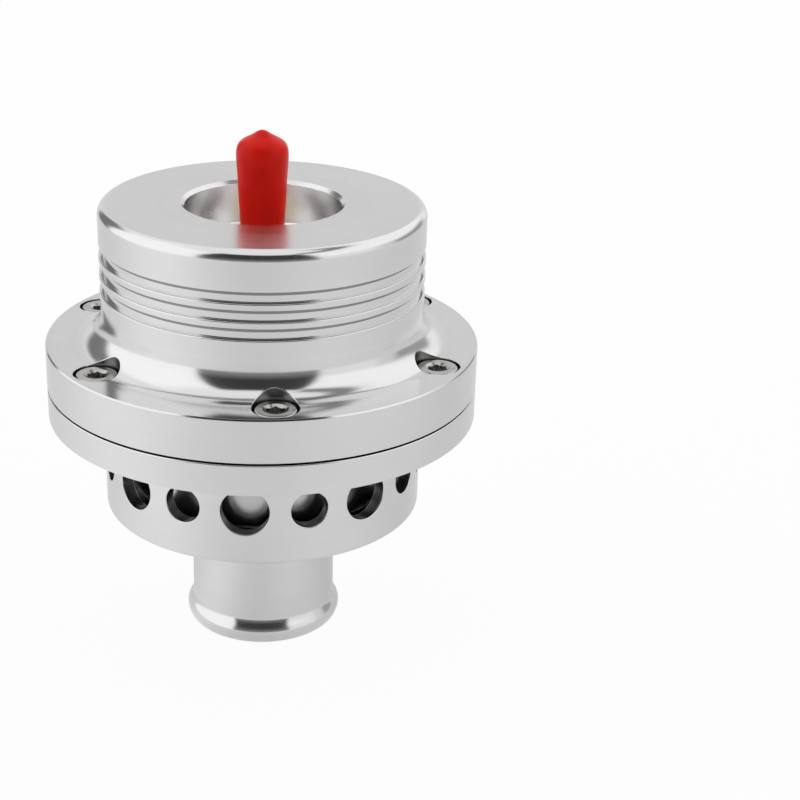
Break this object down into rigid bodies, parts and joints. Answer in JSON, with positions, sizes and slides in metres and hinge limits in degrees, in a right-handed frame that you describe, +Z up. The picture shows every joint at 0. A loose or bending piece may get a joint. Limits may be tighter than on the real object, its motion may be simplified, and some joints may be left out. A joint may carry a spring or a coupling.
{
  "type": "blow off valve",
  "caption": "Turned aluminium blow off valve: a sprung piston between a hose tail and a ring of vent holes, a bolted flange, a grooved neck and a capped vacuum nipple in a top recess.",
  "frame": {"origin": "on the valve's axis, at the end face of the hose tail that it stands on", "axes": "+Z up the valve's axis from the hose tail to the vacuum nipple, -Y the front as pictured, +X to its right"},
  "size_m": [0.073, 0.073, 0.0888],
  "materials": {
    "housing_aluminium": "bright turned, satin sheen",
    "piston_aluminium": "fine turned",
    "screw_steel": "stainless, lightly polished",
    "spring_steel": "drawn wire",
    "seal_rubber": "moulded, matte",
    "guide_plastic": "machined, low friction",
    "nipple_brass": "turned",
    "washer_copper": "soft copper",
    "cap_vinyl": "dipped vinyl, soft gloss"
  },
  "bodies": {
    "housing": {"lower_housing": "housing_aluminium", "upper_housing": "housing_aluminium", "flange_o_ring": "seal_rubber", "flange_screw_1": "screw_steel", "flange_screw_2": "screw_steel", "flange_screw_3": "screw_steel", "flange_screw_4": "screw_steel", "flange_screw_5": "screw_steel", "flange_screw_6": "screw_steel", "vacuum_nipple": "nipple_brass", "nipple_washer": "washer_copper", "main_spring": "spring_steel", "spring_shim": "screw_steel"},
    "piston": {"piston": "piston_aluminium", "upper_guide_ring": "guide_plastic", "lower_guide_ring": "guide_plastic", "piston_o_ring": "seal_rubber", "seat_seal": "seal_rubber", "seal_retainer": "screw_steel", "retainer_screw": "screw_steel"},
    "cap": {"protective_cap": "cap_vinyl"}
  },
  "joints": [
    {"name": "piston_lift", "type": "slide", "parent": "housing", "child": "piston", "axis": [0, 0, 1], "range_m": [0, 0.0085], "stiffness_N_per_m": 1360, "springref_m": -0.01, "deforming": ["main_spring"]},
    {"name": "cap_pull", "type": "slide", "parent": "housing", "child": "cap", "axis": [0, 0, 1], "range_m": [0, 0.016]}
  ]
}
